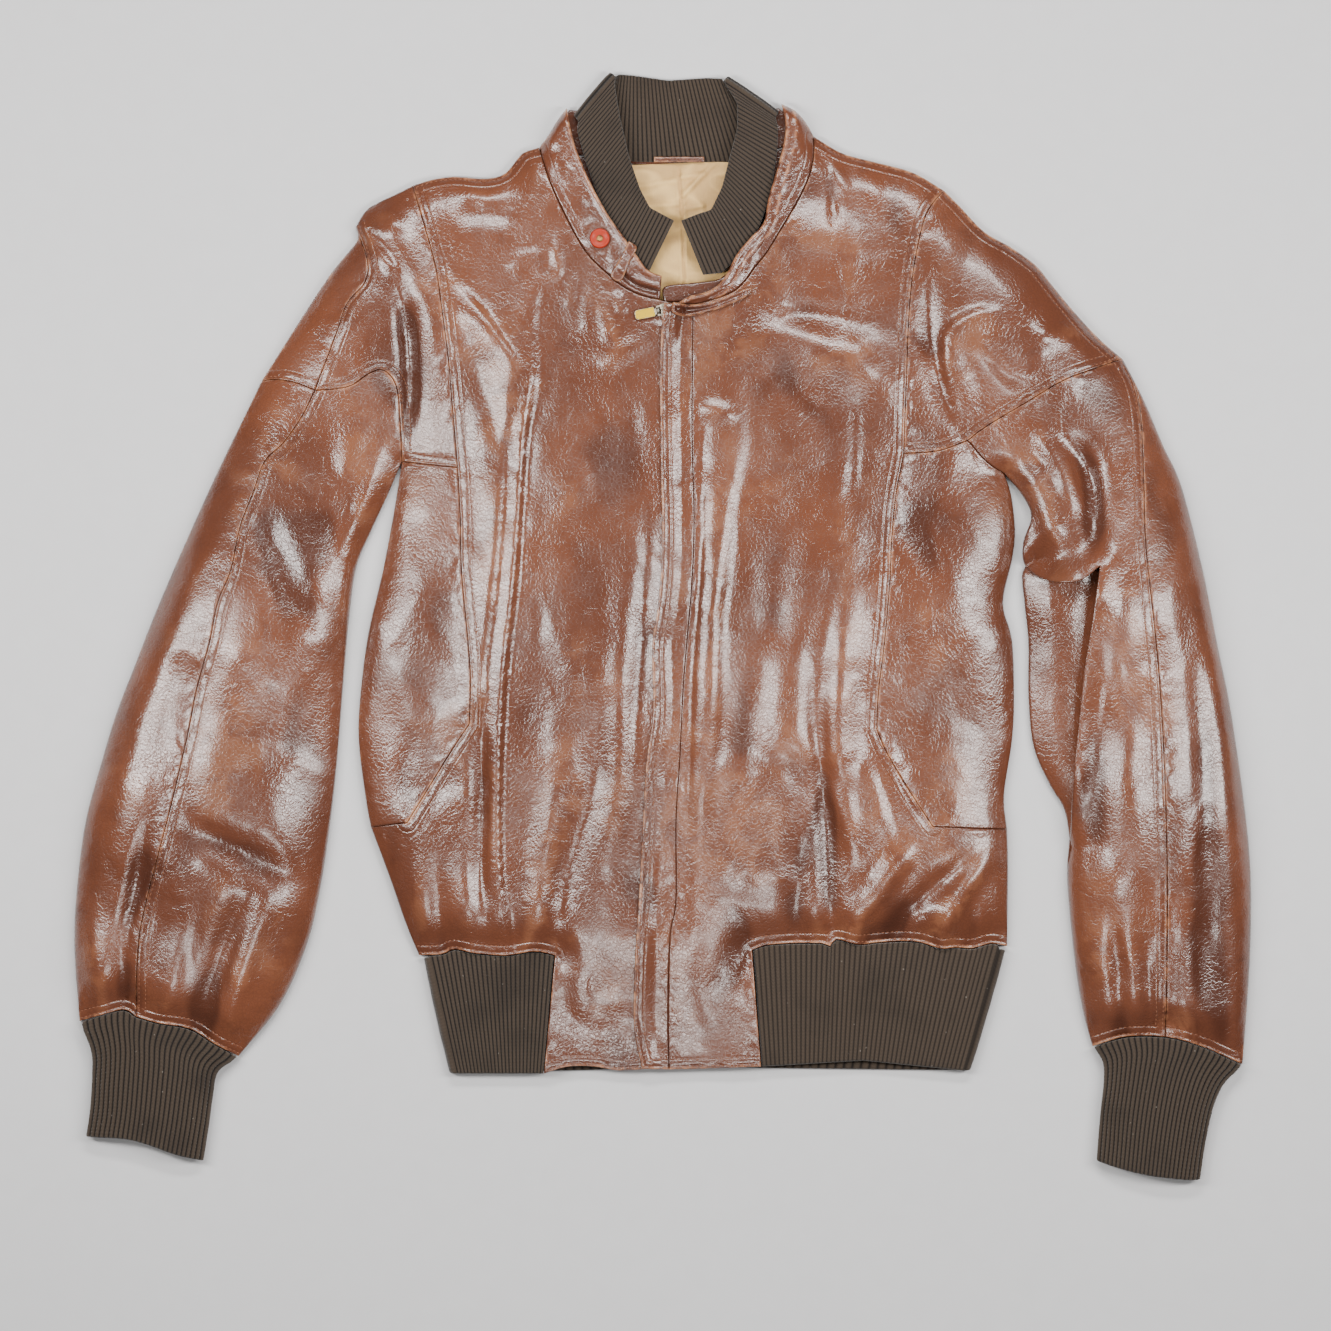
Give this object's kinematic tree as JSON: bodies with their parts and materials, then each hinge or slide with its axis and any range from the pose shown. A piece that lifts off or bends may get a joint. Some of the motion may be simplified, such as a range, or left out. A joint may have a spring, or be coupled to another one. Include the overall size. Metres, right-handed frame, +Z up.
{
  "type": "worn leather jacket",
  "caption": "Worn leather blouson laid flat and zipped up, with rib-knit collar, waistband and cuffs, slanted pockets, a throat latch and a turning zip pull tab.",
  "frame": {"origin": "on the surface that the garment lies on, under the middle of its outline", "axes": "+X to the viewer's right across the laid-out front, +Y towards the collar, +Z up away from the surface"},
  "size_m": [0.8815, 0.8296, 0.0369],
  "materials": {
    "leather": "worn reddish brown leather, waxy shine, tan at rubbed seams",
    "knit": "dark olive brown rib knit wool",
    "lining": "beige woven lining",
    "button_red": "orange red enamel cap with a brass centre",
    "tab_yellow": "yellow enamel face in a pale metal frame",
    "zip_metal": "dull pale zip metal"
  },
  "bodies": {
    "jacket": {"back_panel": "leather", "band_back": "leather", "band_left": "leather", "band_right": "leather", "button": "button_red", "collar_knit": "knit", "cuff_left": "knit", "cuff_right": "knit", "front_left": "leather", "front_right": "leather", "hanger_loop": "leather", "keeper_loop": "leather", "lining": "lining", "placket": "leather", "side_left": "leather", "side_right": "leather", "sleeve_left_back": "leather", "sleeve_left_outer": "leather", "sleeve_left_upper": "leather", "sleeve_right_back": "leather", "sleeve_right_outer": "leather", "sleeve_right_under": "leather", "sleeve_right_upper": "leather", "throat_facing": "leather", "throat_latch": "leather", "waist_rib": "knit", "yoke_left": "leather", "yoke_left_back": "leather", "yoke_right": "leather", "zip_slider": "zip_metal"},
    "zip_pull": {"zip_tab": "tab_yellow"}
  },
  "joints": [
    {"name": "pull_tab_hinge", "type": "hinge", "parent": "jacket", "child": "zip_pull", "pos_m": [-0.003, 0.2355, 0.0226], "axis": [-0.1994, 0.9799, 0], "range_deg": [0, 80]}
  ]
}
